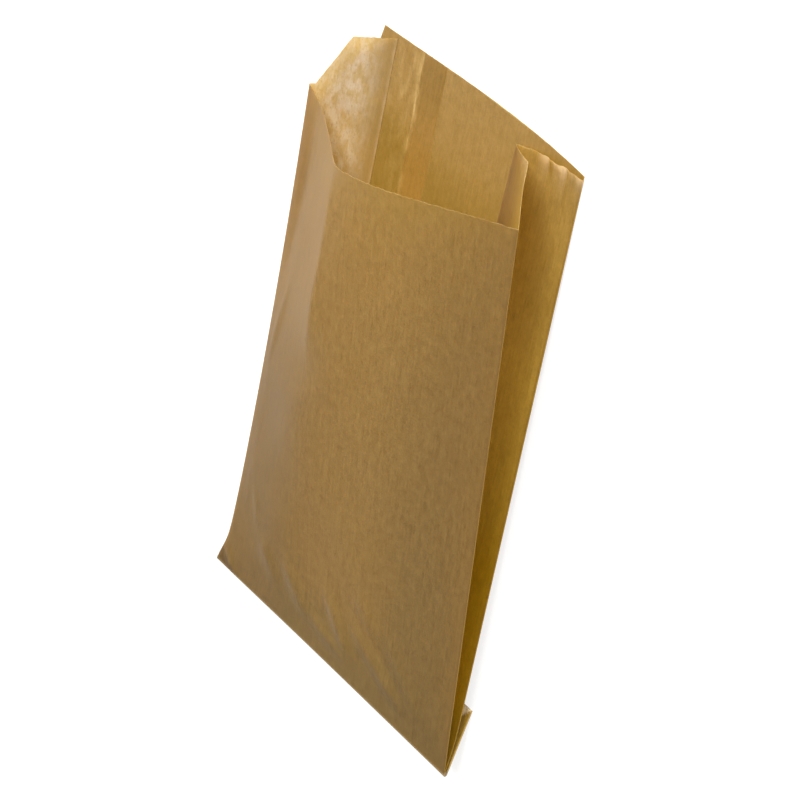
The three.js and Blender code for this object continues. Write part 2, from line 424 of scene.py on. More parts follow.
    def with_seam_edges(self, share: Array, start: float, width: float) -> Array:
        """Even shares across the back, with columns set on both edges of the seam.

        Args:
            share: Even shares.
            start: Place across of the panel's first line.
            width: Width of the panel.

        Returns:
            Sorted shares.
        """
        left = self.sizes.seam_left
        right = left + self.sizes.seam_width
        marks = np.array([left - self.seam_slopes[0], left, right, right + self.seam_slopes[1]])
        marks = (marks - start) / width
        near = np.abs(share[:, None] - marks[None, :]).min(axis=1) < self.seam_room / width
        return np.sort(np.concatenate([share[~near], marks]))

    def panel_columns(self, panel: Panel) -> Columns:
        """Columns of one panel, without its last line, which starts the next panel.

        Args:
            panel: The panel.

        Returns:
            Its columns.
        """
        start, end = panel.start, panel.end
        width = math.dist(start.bottom, end.bottom)
        steps = max(1, round(width / self.column_step))
        share = np.arange(steps) / steps
        if panel.bow is Bow.LIP:
            share = self.with_seam_edges(share, start.bottom[0], width)
        mix = share[:, None]

        def spread(a: Triple, b: Triple) -> Array:
            """Values from the panel's first line to its last."""
            return np.array(a) * (1 - mix) + np.array(b) * mix

        bottom = spread(start.bottom, end.bottom)
        reach = {Zone.FRONT: share, Zone.FRONT_STRIP: 1 - share}.get(panel.zone, np.minimum(share, 1 - share))
        return Columns(
            bottom,
            self.bowed(spread(start.mouth, end.mouth), share, bottom[:, 0], panel.bow),
            spread(start.stray, end.stray),
            spread(start.sway, end.sway),
            np.full(len(share), list(Zone).index(panel.zone)),
            reach * width,
        )

    def columns(self) -> Columns:
        """All columns round the tube."""
        parts = [self.panel_columns(panel) for panel in self.panels()]
        return Columns(*(np.concatenate([getattr(p, f.name) for p in parts]) for f in fields(Columns)))


@dataclass
class FrontPanel:
    """The front's shape: a slanting bend, a bow at the mouth and a sag left of the bend."""

    plan: FoldPlan
    bend_veer: float = 50.0
    bend_fades_at: float = 0.55
    bend_fade_run: float = 0.16
    bow: float = 4.7
    bow_power: int = 9
    crown: float = 1.6
    sag: float = 2.6
    kink_share: float = 0.6
    kink_run: float = 0.5
    kink_limit: float = 0.999
    tight_spread: float = 0.6
    mouth_spread: float = 2.6
    wide_spread: float = 12.0
    mouth_reach: float = 0.035

    @staticmethod
    def smoothing(place: Array, spread: float) -> Array:
        """Weights that smooth a row of values and keep both its ends at nought.

        Formula: a bell over the distance between two columns, less its images in both end columns.

        Args:
            place: Place of every column.
            spread: Width of the bell.

        Returns:
            Square matrix of weights.
        """
        near = place[:, None] - place[None, :]
        far = place[:, None] + place[None, :]
        width = spread * math.sqrt(2)
        itself, first, last = (bell(d, width) for d in (near, far - 2 * place[0], far - 2 * place[-1]))
        return (itself - first - last) / (itself + first + last).sum(axis=1, keepdims=True)

    def softened(self, points: Array, place: Array, share: Array) -> Array:
        """The front with its bends rounded off.

        Formula: what stands off the chord between the two folds is smoothed, tightly near the mouth,
        more loosely at the mouth edge itself and widely below.

        Args:
            points: Points by row and column.
            place: Place across the flat front of every column.
            share: Share of the way along of every row.

        Returns:
            The smoothed points.
        """
        part = ((place - place[0]) / (place[-1] - place[0]))[:, None]
        chord = points[:, :1] * (1 - part) + points[:, -1:] * part
        bump = points - chord
        spreads = (self.tight_spread, self.mouth_spread, self.wide_spread)
        tight, loose, wide = (self.smoothing(place, spread) @ bump for spread in spreads)
        t = ramp(share, self.bend_fades_at, self.bend_fades_at + self.bend_fade_run)[:, None, None]
        crisp = t * t * (3 - 2 * t)
        at_mouth = bell(1 - share, self.mouth_reach)[:, None, None]
        return chord + crisp * (tight * (1 - at_mouth) + loose * at_mouth) + (1 - crisp) * wide

    def surface(self, place: Array, share: Array) -> Array:
        """The front panel with its slanting bend.

        Formula: every row is a line from the right fold to the bend and on to the left fold, divided by
        length; it bows up right of the bend and sags left of it, with a second, fainter bend in the sag
        that runs down to meet the left fold.

        Args:
            place: Place across the flat front of every column, from the right fold to the left one.
            share: Share of the way along of every row.

        Returns:
            Points by row and column.
        """
        lines = self.plan.lines()
        three = LineSet.of([lines[name] for name in ("front_right", "front_bend", "front_left")])
        right, bend, left = np.split(three.drawn(share, self.plan.sizes.flare_share), 3, axis=1)
        bend[..., 0] -= self.bend_veer * np.clip(self.bend_fades_at - share, 0, 1)[:, None] ** 2
        wide = np.linalg.norm(bend - right, axis=-1)
        narrow = np.linalg.norm(left - bend, axis=-1)
        run = (place[0] - place) / (place[0] - place[-1]) * (wide + narrow)
        to_bend = np.clip(run / wide, 0, 1)
        past_bend = np.clip((run - wide) / narrow, 0, 1)
        out = right + (bend - right) * to_bend[..., None] + (left - bend) * past_bend[..., None]
        v = share[:, None]
        out[..., 2] += v**self.bow_power * self.bow * leaning_hump(to_bend)
        out[..., 2] += hump(v) * self.crown * hump(to_bend)
        straight = 1 - self.kink_share
        kink = np.clip(self.kink_share + (1 - v) * straight / self.kink_run, 0, self.kink_limit)
        sag = v * self.sag * (1 - kink) / straight
        out[..., 2] -= sag * np.minimum(past_bend / kink, (1 - past_bend) / (1 - kink))
        return self.softened(out, place, share)


@dataclass(frozen=True)
class Wrinkle:
    """A crease on the front, between two points of the flat panel, in millimetres; below nought a groove."""

    start: tuple[float, float]
    end: tuple[float, float]
    height: float
    width: float

    def rise(self, across: Array, along: Array) -> Array:
        """Height of the crease: a bell across the segment that tapers to its ends.

        Args:
            across: Place across the panel of every grid point.
            along: Place along the panel of every grid point.

        Returns:
            Height at every grid point.
        """
        run = np.array(self.end) - np.array(self.start)
        length = float(np.hypot(*run))
        unit = run / length
        x, y = across - self.start[0], along - self.start[1]
        t = (x * unit[0] + y * unit[1]) / length
        off = x * unit[1] - y * unit[0]
        return self.height * bell(t - 0.5, 0.5, FLAT_TOP) * bell(off, self.width)


@dataclass(frozen=True)
class Ripple:
    """A sine over the flat panel, with its rates across and along and its start, in radians."""

    across: float
    along: float
    start: float

    def at(self, across: Array, along: Array) -> Array:
        """Value at every grid point."""
        return np.sin(across * self.across + along * self.along + self.start)


@dataclass
class PaperCreases:
    """Wrinkles, waves and curls that lift the paper off its folded shape, in millimetres."""

    sizes: SheetSizes
    wrinkles: tuple[Wrinkle, ...] = (
        Wrinkle((-47, 27), (-36, 16), 0.576, 4.2),
        Wrinkle((-31, 29), (-16, 13), 0.736, 4.4),
        Wrinkle((-14, 15), (10, 8), 0.8, 3.6),
        Wrinkle((-4, 32), (11, 13), 0.992, 3.9),
        Wrinkle((13, 44), (26, 32), 0.736, 4.6),
        Wrinkle((12, 28), (43, 10), 1.12, 4.4),
        Wrinkle((-57, 136), (-66, 97), 0.48, 1.7),
        Wrinkle((-57, 45), (-52, 32), 0.192, 2.0),
        Wrinkle((30, 37), (53, 13), 0.64, 5.0),
        Wrinkle((-60, 210), (-63, 140), -0.672, 5.0),
    )
    toe_wrinkle: Wrinkle = Wrinkle((-68.0, 9.5), (-59.0, -1.5), 0.35, 1.8)
    broad: tuple[Ripple, Ripple] = (Ripple(0.11, 0.047, 0.6), Ripple(-0.03, 0.071, 1.1))
    broad_height: float = 0.2
    fine: Ripple = Ripple(0.21, -0.13, 2.0)
    fine_height: float = 0.06
    front_swell: float = 0.35
    fold_reach: float = 7.0
    crease_reach: float = 14.0
    toe_reach: float = 2.5
    lining_share: float = 0.4
    lining_reach: float = 90.0
    back_fades: tuple[float, float] = (18.0, 3.0)
    floor_curl: float = 1.5
    floor_curl_level: float = 0.75
    floor_curl_waves: tuple[Triple, ...] = ((0.35, 19.0, 0.5), (0.2, 43.0, 0.0))
    floor_curl_reach: float = 2.6
    floor_curl_span: tuple[float, float] = (0.32, 0.3)
    wall_curl: float = 1.2
    wall_curl_reach: float = 3.0
    wall_curl_width: float = 0.16
    edge_waves: tuple[Triple, ...] = ((0.08, 2.1, 0.0), (0.08, 3.7, 1.0), (0.07, 0.9, 0.0))
    edge_reach: float = 1.2
    lip_raggedness: float = 0.3

    def curls(self, cols: Columns, from_lip: Array) -> Array:
        """Lift of the curled mouth edge of the right gusset.

        Formula: a bell away from the mouth edge, uneven along the floor and single on the wall's corner.

        Args:
            cols: The columns.
            from_lip: Distance of every row from the mouth edge.

        Returns:
            Lift by row and column.
        """
        part = self.sizes.into_gusset(cols.across)
        middle, half = self.floor_curl_span
        uneven = self.floor_curl_level + waves(part, self.floor_curl_waves)
        edge = bell(from_lip, self.floor_curl_reach)
        floor = self.floor_curl * uneven * edge * bell(part - middle, half, FLAT_TOP)
        corner = bell(part - self.sizes.right_slant_share, self.wall_curl_width)
        wall = self.wall_curl * bell(from_lip, self.wall_curl_reach) * corner
        return cols.on(Zone.RIGHT_BACK) * floor + cols.on(Zone.RIGHT_FRONT) * wall

    def lift(self, cols: Columns, along: Array, from_lip: Array) -> Array:
        """How far the paper is pushed out across itself.

        Formula: wrinkles and a slow wave on the front, the wave turned inwards on the left gusset's
        lining and the left of the back, and the curls. All fade towards the folds.

        Args:
            cols: The columns.
            along: Place along the bag of every grid point.
            from_lip: Distance of every row from the mouth edge.

        Returns:
            Lift by row and column.
        """
        across = np.broadcast_to(cols.across, along.shape)
        front = cols.on(Zone.FRONT, Zone.FRONT_STRIP)
        first, second = (ripple.at(across, along) for ripple in self.broad)
        wave = self.broad_height * first * second + self.fine_height * self.fine.at(across, along)
        keep = ramp(cols.edge, 0.0, self.fold_reach) * ramp(along, 0.0, self.crease_reach)
        rise = sum(wrinkle.rise(across, along) for wrinkle in self.wrinkles)
        close = ramp(cols.edge, 0.0, self.toe_reach) * ramp(along, 0.0, self.toe_reach)
        toe = self.toe_wrinkle.rise(across, along) * close
        inner = cols.on(Zone.LEFT_INNER) + cols.on(Zone.BACK) * ramp(across, *self.back_fades)
        sunk = self.lining_share * inner * np.abs(wave) * keep * ramp(along, 0.0, self.lining_reach)
        return front * ((rise + wave + self.front_swell) * keep + toe) - sunk + self.curls(cols, from_lip)

    def torn_edge(self, cols: Columns, from_lip: Array) -> Array:
        """How far the mouth edge strays along the bag: a few sines that die away below the edge.

        Args:
            cols: The columns.
            from_lip: Distance of every row from the mouth edge.

        Returns:
            Shift by row and column.
        """
        calm = np.where(cols.on(Zone.BACK), self.lip_raggedness, 1.0)
        return waves(cols.paper, self.edge_waves) * calm * bell(from_lip, self.edge_reach)


@dataclass
class BottomStrip:
    """The folded bottom strip: a thick line carried across the bag."""

    sizes: SheetSizes
    arc_points: int = 13
    arm_steps: int = 27
    coarse_points: int = 61
    fine_points: int = 24
    fine_run: tuple[float, float] = (12.0, 11.5)
    arm_starts: tuple[float, float] = (1.5, 3.0)
    top_shows: tuple[float, float] = (10.0, 7.0)
    pale_slope: float = 1.2
    pale_blur: float = 0.8
    pale_depth: tuple[float, float] = (7.5, 6.0)
    pale_run: tuple[float, float] = (18.0, 14.0)

    @property
    def end(self) -> float:
        """Place across of the strip's right end."""
        return self.sizes.half_width + self.sizes.paper

    def middle_line(self) -> Array:
        """Middle of the glued stack, seen from the side.

        Formula: a lap on the tube, an arc over the crease and a straight arm back under the bag.

        Returns:
            Points along and up.
        """
        s = self.sizes
        top, r = s.stack / 2, s.crease_radius
        lean = math.atan2(s.strip_stand_off, s.strip_depth)
        angle = math.pi / 2 + (math.pi - lean) * np.linspace(0, 1, self.arc_points)
        arc = np.stack([r * np.cos(angle), top - r + r * np.sin(angle)], axis=-1)
        run = np.linspace(0, 1, self.arm_steps + 1)[1:, None]
        arm = arc[-1] * (1 - run) + np.array([s.strip_depth, -s.strip_stand_off]) * run
        return np.concatenate([[[s.strip_lap, top]], arc, arm])

    def grid(self) -> tuple[Array, Array]:
        """The strip's mesh.

        Formula: the middle line, offset to both sides by half the glued stack, is carried across, with
        finer steps near the right end.

        Returns:
            Points and faces.
        """
        s = self.sizes
        line = self.middle_line()
        d = np.gradient(line, axis=0)
        n = np.stack([-d[:, 1], d[:, 0]], axis=-1)
        n /= np.linalg.norm(n, axis=1, keepdims=True)
        half = s.stack / 2 + s.strip_cover
        loop = np.concatenate([line - n * half, (line + n * half)[::-1]])
        coarse = np.linspace(-self.end, self.end - self.fine_run[0], self.coarse_points)
        fine = np.linspace(self.end - self.fine_run[1], self.end, self.fine_points)
        x = np.concatenate([coarse, fine])
        points = np.empty((len(x), len(loop), 3))
        points[..., 0] = x[:, None]
        points[..., 1:] = loop
        across, count = len(x) - 1, len(loop)
        i, j = np.meshgrid(np.arange(across), np.arange(count), indexing="ij")
        k = (j + 1) % count
        corners = (i * count + j, (i + 1) * count + j, (i + 1) * count + k, i * count + k)
        m = np.arange(len(line) - 1)
        left = np.stack([m, m + 1, count - 2 - m, count - 1 - m], axis=-1)
        right = left[:, ::-1] + across * count
        return points.reshape(-1, 3), np.concatenate([np.stack(corners, axis=-1).reshape(-1, 4), left, right])

    def marks(self, points: Array) -> dict[str, Array]:
        """Tone masks of the strip.

        Formula: the arm past the crease, its upper face at the right end, painted a little lighter as painted
        light, and the paler inner paper that shows past a slanting edge at its free corner, painted lighter
        still as painted light.

        Args:
            points: The strip's points.

        Returns:
            Values from 0 to 1 by mask name.
        """
        s = self.sizes
        count = len(points) // (self.coarse_points + self.fine_points)
        upper = np.arange(len(points)) % count >= count // 2
        arm = ramp(points[:, 1], *self.arm_starts)
        shows = ramp(points[:, 0], *(s.half_width - back for back in self.top_shows))
        from_end = self.end - points[:, 0]
        from_edge = s.strip_depth - points[:, 1]
        past_slant = ramp(from_end * self.pale_slope - from_edge, 0.0, self.pale_blur)
        pale = past_slant * ramp(from_edge, *self.pale_depth) * ramp(from_end, *self.pale_run)
        return {"strip_arm": arm, "strip_top": upper * shows * arm, "strip_end": pale}


@dataclass
class PaperMarks:
    """Places where the sheet's tone changes: linings, seam and cut edges, with painted light and shade on the
    lining, the front, the right gusset's curl and the bottom left corner.
    """

    sizes: SheetSizes
    same_place: float = 0.1
    # Share of painted light on the left gusset's centre fold, lifting the line of shade beside it.
    fold_painted_light: float = 0.42
    lining_fades: tuple[float, float] = (3.0, 15.0)
    seam_slack: float = 0.05
    # Pale glue line with a painted glint at the seam's left edge, strongest near the lip.
    glue_glint_line: tuple[float, float] = (0.1, 0.8)
    glue_floor: float = 0.3
    glue_glint_reach: float = 45.0
    smear: tuple[float, float] = (-6.5, 7.0)
    # Painted shade on the front: its right side, the upper strip and its lower left.
    shade_right: tuple[float, float] = (12.0, 60.0)
    shade_left: tuple[float, float] = (-32.0, -62.0)
    shade_left_share: float = 0.3
    doubled_left_along: tuple[float, float] = (145.0, 190.0)
    lower_left: tuple[float, float] = (-10.0, -50.0)
    lower_left_share: float = 0.85
    lower_left_along: tuple[float, float] = (140.0, 90.0)
    # Painted shade along the front's left rim, golden where that facet catches less sheen.
    rim_width: float = 7.0
    rim_along: tuple[float, float] = (130.0, 175.0)
    # Width of the painted shade along the right fold.
    turn_width: float = 0.8
    fold_width: float = 0.9
    # Pale cut edge and painted highlight along the right gusset's curled mouth edge.
    rub_level: float = 0.6
    edge_pale_waves: tuple[Triple, ...] = ((0.5, 23.0, 1.0), (0.3, 51.0, 0.0))
    floor_rub: tuple[float, float, float] = (1.3, 0.3, 0.32)
    floor_rub_reach: float = 3.2
    wall_pale_edge: tuple[float, float] = (0.4, 0.2)
    wall_pale_edge_reach: float = 1.0
    # Place of the painted shade on the bottom left corner, where a bent facet gets less light.
    corner_place: tuple[float, float] = (-69.0, 7.5)
    corner_lean: tuple[float, float] = (-0.64, -0.78)
    corner_blur: float = 1.2

    def linings(self, cols: Columns) -> dict[str, Array]:
        """Masks of the gussets' faces, by column, with painted light on the left lining and its centre fold,
        painted shade along the right fold, and the valley's painted light and shade.

        Args:
            cols: The columns.

        Returns:
            Values from 0 to 1 by mask name.
        """
        from_centre = -self.sizes.centre_fold - cols.across
        fold = cols.on(Zone.FOLD) & (np.abs(from_centre) < self.same_place)
        fold |= np.roll(fold, 1)
        valley = cols.on(Zone.RIGHT_BACK, Zone.RIGHT_FRONT)
        valley |= np.roll(valley, 1) & np.roll(valley, -1)
        return {
            "left_gusset": cols.on(Zone.LEFT_INNER) | fold,
            # Painted light on the lining, and at its centre fold over the line of shade there.
            "lining_painted_light": np.where(fold, self.fold_painted_light, ramp(from_centre, *self.lining_fades)),
            # The valley mask carries painted light and shade on the right gusset's outer faces.
            "valley": valley,
            "right_wall": cols.on(Zone.RIGHT_FRONT),
            # Painted shade along the right fold, darkening the light it catches.
            "right_fold": bell(self.sizes.half_width - cols.across, self.turn_width),
            "fold": bell(cols.edge, self.fold_width),
        }

    def seam(self, cols: Columns, from_lip: Array) -> dict[str, Array]:
        """Masks of the seam band, of the pale glue line with a painted glint at its left edge and of the
        smear beside it.

        Args:
            cols: The columns.
            from_lip: Distance of every row from the mouth edge.

        Returns:
            Values from 0 to 1 by mask name.
        """
        back = cols.on(Zone.BACK)
        past = cols.across - self.sizes.seam_left
        band = (past > -self.seam_slack) & (past < self.sizes.seam_width + self.seam_slack)
        line_at, line_width = self.glue_glint_line
        smear_at, smear_width = self.smear
        fade = self.glue_floor + (1 - self.glue_floor) * bell(from_lip, self.glue_glint_reach)
        return {
            "seam": back & band,
            "seam_edge": back * bell(past - line_at, line_width) * fade,
            "smear": back * bell(past - smear_at, smear_width, FLAT_TOP),
        }

    def front_tones(self, cols: Columns, along: Array) -> dict[str, Array]:
        """Masks of painted shade on the front: darker on its right where the gusset lies behind it, on the
        upper strip and low on the left, and golden along its left rim.

        Args:
            cols: The columns.
            along: Place along the bag of every grid point.

        Returns:
            Values from 0 to 1 by mask name.
        """
        x = cols.across
        front = cols.on(Zone.FRONT, Zone.FRONT_STRIP)
        right = cols.on(Zone.FRONT) * ramp(x, *self.shade_right)
        strip_shade = self.shade_left_share * cols.on(Zone.FRONT_STRIP) * ramp(x, *self.shade_left)
        lower = self.lower_left_share * front * ramp(x, *self.lower_left)
        upper_part = ramp(along, *self.doubled_left_along)
        lower_part = ramp(along, *self.lower_left_along)
        rim = front * bell(x + self.sizes.half_width, self.rim_width)
        return {
            "backed": right + strip_shade * upper_part + lower * lower_part,
            "left_rim": rim * ramp(along, *self.rim_along),
        }

    def frayed(self, cols: Columns, from_lip: Array) -> Array:
        """How far the mouth edge of the right gusset is painted pale: a pale cut edge and a painted highlight
        along its curl.

        Args:
            cols: The columns.
            from_lip: Distance of every row from the mouth edge.

        Returns:
            Values from 0 to 1 by row and column.
        """
        part = self.sizes.into_gusset(cols.across)
        patchy = np.clip(self.rub_level + waves(part, self.edge_pale_waves), 0, 1)
        gain, middle, half = self.floor_rub
        floor = gain * cols.on(Zone.RIGHT_BACK) * patchy * bell(part - middle, half, FLAT_TOP)
        corner = bell(part - self.sizes.right_slant_share, self.wall_pale_edge[1])
        wall = self.wall_pale_edge[0] * cols.on(Zone.RIGHT_FRONT) * corner
        pale = floor * bell(from_lip, self.floor_rub_reach, 1) + wall * bell(from_lip, self.wall_pale_edge_reach, 1)
        return np.clip(pale, 0, 1)

    def corner(self, points: Array) -> Array:
        """How far points lie in the small bottom left corner that is painted darker as painted shade, from 0
        to 1.
        """
        beyond = (points[:, :2] - np.array(self.corner_place)) @ np.array(self.corner_lean)
        return ramp(beyond, 0.0, self.corner_blur)


@dataclass
class PaperBag:
    """The whole bag: one sheet folded to a gusseted tube, and its folded bottom."""

    sizes: SheetSizes = field(default_factory=SheetSizes)
    rows: int = 120
    row_crowding: float = 1.25
    edge_band: float = 0.0011
    toe: tuple[float, float] = (1.9, 0.5)
    toe_up: tuple[float, float] = (20.0, 15.0)
    toe_in: tuple[float, float] = (12.0, 40.0)
    tilt_shift: Triple = (-1.425, -120.718, 3.378)
    paper_map_scale: float = 0.01
    sharp_angle: float = 40.0
    least_mitre: float = 0.25

    def __post_init__(self) -> None:
        """Plan the folds and the parts that share the bag's sizes."""
        self.plan = FoldPlan(self.sizes)
        self.front = FrontPanel(self.plan)
        self.creases = PaperCreases(self.sizes)
        self.strip = BottomStrip(self.sizes)
        self.marks = PaperMarks(self.sizes)

    def section_offsets(self, rows: Array) -> Array:
        """Direction across the paper at every point of every closed row.

        Formula: the sum of the two side normals over one plus their dot product, which keeps the
        paper's thickness round a corner.

        Args:
            rows: Points, one closed section a row.

        Returns:
            Offset vectors in the section's plane.
        """
        d = np.roll(rows, -1, axis=1) - rows
        n = np.stack([d[..., 2], np.zeros_like(d[..., 0]), -d[..., 0]], axis=-1)
        n /= np.maximum(np.linalg.norm(n, axis=-1, keepdims=True), TINY)
        before = np.roll(n, 1, axis=1)
        dot = (before * n).sum(axis=-1, keepdims=True)
        return (before + n) / np.maximum(1 + dot, self.least_mitre)

    def row_shares(self) -> Array:
        """Share of the way along of every row, closer at the crease, with a narrow last band."""
        share = (np.arange(self.rows + 1) / self.rows) ** self.row_crowding * (1 - self.edge_band)
        return np.append(share, 1.0)

    def middle(self, cols: Columns, share: Array, from_lip: Array) -> Array:
        """Middle surface of the paper with its creases.

        Formula: the drawn columns, with the front's own surface in their place on the front, pushed out
        across the paper by the creases, and shifted along at the torn mouth edge.

        Args:
            cols: The columns.
            share: Share of the way along of every row.
            from_lip: Distance of every row from the mouth edge.

        Returns:
            Points by row and column.
        """
        points = cols.drawn(share, self.sizes.flare_share)
        wide = int(np.argmax(cols.on(Zone.FOLD))) + 1
        points[:, :wide] = self.front.surface(cols.across[:wide], share)
        lift = self.creases.lift(cols, points[..., 1], from_lip)
        points = points + self.section_offsets(points) * lift[..., None]
        points[..., 1] += self.creases.torn_edge(cols, from_lip)
        return points

    def toed(self, points: Array) -> Array:
        """Points with the bottom left corner drawn out to a blunt toe.

        Formula: a shift to the left and downwards that dies away from the corner.

        Args:
            points: Points in the bag's own frame.

        Returns:
            The shifted points.
        """
        out = points.copy()
        inwards = points[:, 0] + self.sizes.half_width
        up = np.abs(points[:, 1])
        for axis in (0, 1):
            out[:, axis] -= self.toe[axis] * bell(up, self.toe_up[axis], 1) * bell(inwards, self.toe_in[axis])
        return out

    def lay_down(self, points: Array) -> Array:
        """Bag points set down on the floor, in metres.

        Formula: shifted, then turned about X so that the strip's free edge and the lip touch the floor.

        Args:
            points: Points in the bag's own frame, in millimetres.

        Returns:
            Points in the shared frame.
        """
        s = self.sizes
        drop = s.strip_stand_off + s.stack / 2 + s.strip_cover
        a = math.atan2(drop, s.back_length - s.strip_depth)
        p = points + np.array(self.tilt_shift)
        y = p[..., 1] * math.cos(a) + p[..., 2] * math.sin(a)
        z = -p[..., 1] * math.sin(a) + p[..., 2] * math.cos(a)
        return np.stack([p[..., 0], y, z], axis=-1) * MM

    @staticmethod
    def tube_faces(rows: int, columns: int) -> Array:
        """Faces of the closed paper: outer side, inner side, bottom rim and mouth rim.

        Args:
            rows: Rows of points on each side.
            columns: Columns round the tube.

        Returns:
            Four point numbers a face.
        """
        inner = rows * columns
        i, j = np.meshgrid(np.arange(rows - 1), np.arange(columns), indexing="ij")
        low = (i * columns + j).ravel()
        beside = (i * columns + (j + 1) % columns).ravel()
        outside = np.stack([low, low + columns, beside + columns, beside], axis=-1)
        first = np.arange(columns)
        after = (first + 1) % columns
        top = inner - columns
        bottom_rim = np.stack([first, after, inner + after, inner + first], axis=-1)
        mouth_rim = top + np.stack([first, inner + first, inner + after, after], axis=-1)
        inside = inner + outside[:, [0, 3, 2, 1]]
        return np.concatenate([outside, inside, bottom_rim, mouth_rim])

    def tones(
        self, cols: Columns, mid: Array, from_lip: Array, strip: Array
    ) -> dict[str, Array]:
        """All tone masks of the mesh, apart from the corner's.

        Args:
            cols: The columns.
            mid: Middle surface of the paper.
            from_lip: Distance of every row from the mouth edge.
            strip: Points of the strip.

        Returns:
            Values by mask name, for the outer face, the inner face and the strip in turn.
        """
        shape = mid.shape[:2]
        bare = np.zeros(len(strip))
        tube = np.zeros(2 * mid[..., 0].size)
        sheet = {
            **self.marks.linings(cols),
            **self.marks.seam(cols, from_lip),
            **self.marks.front_tones(cols, mid[..., 1]),
            "frayed": self.marks.frayed(cols, from_lip),
            "cut_edge": from_lip == 0.0,
        }
        faces = {name: np.broadcast_to(values, shape).ravel() for name, values in sheet.items()}
        out = {name: np.concatenate([face, face, bare]) for name, face in faces.items()}
        out["inside"] = np.concatenate([np.zeros(len(tube) // 2), np.ones(len(tube) // 2), bare])
        out["valley"] = out["valley"] * (1 - out["inside"])
        out.update({name: np.concatenate([tube, values]) for name, values in self.strip.marks(strip).items()})
        return out

    def build(self) -> bpy.types.Object:
        """The bag as one mesh, with its paper map and its tone masks.

        Returns:
            The object.
        """
        s = self.sizes
        cols = self.plan.columns()
        share = self.row_shares()
        from_lip = ((1 - share) * s.back_length)[:, None]
        mid = self.middle(cols, share, from_lip)
        strip_points, strip_faces = self.strip.grid()
        tones = self.tones(cols, mid, from_lip, strip_points)
        offset = self.section_offsets(mid)
        depth = s.paper / 2 + s.paper * self.marks.seam(cols, from_lip)["seam"][:, None]
        outer, inner = mid + offset * s.paper / 2, mid - offset * depth
        points = self.toed(np.concatenate([outer.reshape(-1, 3), inner.reshape(-1, 3), strip_points]))
        tones["corner"] = self.marks.corner(points)
        faces = np.concatenate([self.tube_faces(*mid.shape[:2]), strip_faces + 2 * mid[..., 0].size])
        mesh = bpy.data.meshes.new("paper_bag_sheet")
        mesh.from_pydata(self.lay_down(points).tolist(), [], faces.tolist())
        for name, values in tones.items():
            mesh.attributes.new(name, "FLOAT", "POINT").data.foreach_set("value", values.astype(np.float32))
        along = np.concatenate([np.tile(mid[..., 1].ravel(), 2), strip_points[:, 1]])
        round_it = np.concatenate([np.tile(cols.paper, 2 * len(share)), strip_points[:, 0]])
        paper_map = np.stack([round_it, along], axis=-1) * self.paper_map_scale
        corners = np.empty(len(mesh.loops), dtype=np.int32)
        mesh.loops.foreach_get("vertex_index", corners)
        uv = mesh.uv_layers.new(name="paper")
        uv.uv.foreach_set("vector", paper_map[corners].astype(np.float32).ravel())
        glued = np.arange(len(faces)) >= len(faces) - len(strip_faces)
        mesh.polygons.foreach_set("material_index", glued.astype(np.int32))
        mesh.polygons.foreach_set("use_smooth", np.ones(len(faces), dtype=bool))
        mesh.update()
        mesh.set_sharp_from_angle(angle=math.radians(self.sharp_angle))
        obj = bpy.data.objects.new("paper_bag_sheet", mesh)
        bpy.context.scene.collection.objects.link(obj)
        return obj

    def dress(self, obj: bpy.types.Object, finish: "KraftPaper") -> None:
        """Give the bag its paper and tell the frame what it is.

        Args:
            obj: The bag.
            finish: Its paper.
        """
        obj.data.materials.append(finish.material())
        obj.data.materials.append(replace(finish, glued=True).material())
        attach(obj, "root")
        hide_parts("paper_bag")


@dataclass(frozen=True)
class Noise:
    """A noise over the paper map: rates across and along, finer layers and their strength."""

    rates: tuple[float, float]
    detail: float
    rough: float


@dataclass(frozen=True)
class Span:
    """A span of values and the span that it is taken to."""

    low: float
    high: float
    to_low: float
    to_high: float


